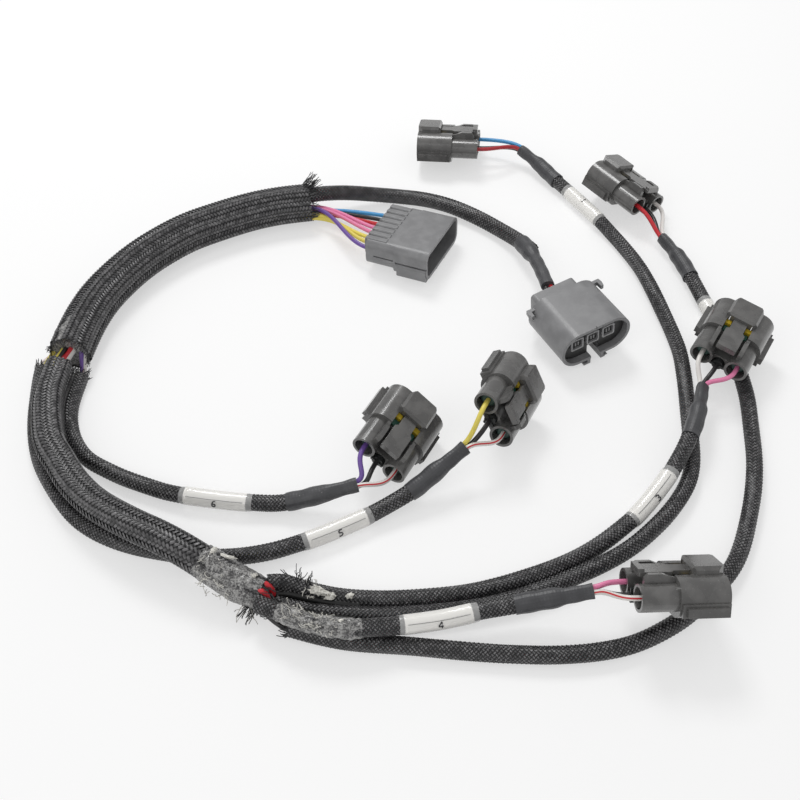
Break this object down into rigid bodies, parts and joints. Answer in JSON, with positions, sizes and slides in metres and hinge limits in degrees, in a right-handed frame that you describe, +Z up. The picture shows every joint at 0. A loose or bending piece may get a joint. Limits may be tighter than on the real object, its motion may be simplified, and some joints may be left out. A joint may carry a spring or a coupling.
{
  "type": "ignition coil wiring harness",
  "caption": "Car ignition coil wiring harness: braided trunk and branches, white number labels, heat-shrink boots and grey latched connectors, laid out flat.",
  "frame": {"origin": "centre of the harness's bounding box on the table it lies on", "axes": "+Z up from the table, +X to the right and +Y away from the viewer as in the picture"},
  "size_m": [0.3508, 0.345, 0.0365],
  "materials": {
    "black_braid": "dusty black open braid",
    "heat_shrink": "smooth dark grey heat-shrink tube",
    "white_label": "white printed label under clear shrink tube",
    "grey_nylon": "moulded mid grey nylon",
    "light_grey_nylon": "moulded light grey nylon",
    "yellow_retainer": "olive yellow terminal retainer",
    "green_rubber": "dark green sealing rubber",
    "dried_glue": "hardened grey-white glue",
    "plated_pins": "dull plated blades",
    "wires_1": "thin insulated wires, red, black and blue",
    "wires_2": "thin insulated wires, red, black and white",
    "wires_3": "thin insulated wires, white, black and pink",
    "wires_4": "thin insulated wires, pink, black and white",
    "wires_5": "thin insulated wires, yellow, black and white",
    "wires_6": "thin insulated wires, purple, black and white"
  },
  "bodies": {
    "root": {"trunk_sleeve": "black_braid", "mid_sleeve": "black_braid", "coil_1_sleeve": "black_braid", "coil_1_label": "white_label", "coil_1_heat_shrink": "heat_shrink", "coil_1_housing": "grey_nylon", "coil_1_seal": "green_rubber", "coil_1_retainer": "yellow_retainer", "coil_1_wires": "wires_1", "coil_2_sleeve": "black_braid", "coil_2_label": "white_label", "coil_2_heat_shrink": "heat_shrink", "coil_2_housing": "grey_nylon", "coil_2_seal": "green_rubber", "coil_2_retainer": "yellow_retainer", "coil_2_wires": "wires_2", "coil_3_sleeve": "black_braid", "coil_3_label": "white_label", "coil_3_heat_shrink": "heat_shrink", "coil_3_housing": "grey_nylon", "coil_3_seal": "green_rubber", "coil_3_retainer": "yellow_retainer", "coil_3_wires": "wires_3", "coil_4_sleeve": "black_braid", "coil_4_label": "white_label", "coil_4_heat_shrink": "heat_shrink", "coil_4_housing": "grey_nylon", "coil_4_seal": "green_rubber", "coil_4_retainer": "yellow_retainer", "coil_4_wires": "wires_4", "coil_5_sleeve": "black_braid", "coil_5_label": "white_label", "coil_5_heat_shrink": "heat_shrink", "coil_5_housing": "grey_nylon", "coil_5_seal": "green_rubber", "coil_5_retainer": "yellow_retainer", "coil_5_wires": "wires_5", "coil_6_sleeve": "black_braid", "coil_6_label": "white_label", "coil_6_heat_shrink": "heat_shrink", "coil_6_housing": "grey_nylon", "coil_6_seal": "green_rubber", "coil_6_retainer": "yellow_retainer", "coil_6_wires": "wires_6", "power_sleeve": "black_braid", "power_heat_shrink": "heat_shrink", "power_plug_housing": "light_grey_nylon", "power_plug_insert": "grey_nylon", "power_plug_wires": "wires_1", "main_plug_housing": "light_grey_nylon", "main_plug_pins": "plated_pins", "main_plug_wires": "wires_6", "breakout_1_wires": "wires_5", "breakout_2_wires": "wires_2", "glue_patch_mid": "dried_glue", "glue_patch_coil_4": "dried_glue", "glue_patch_trunk": "dried_glue"}
  },
  "joints": []
}
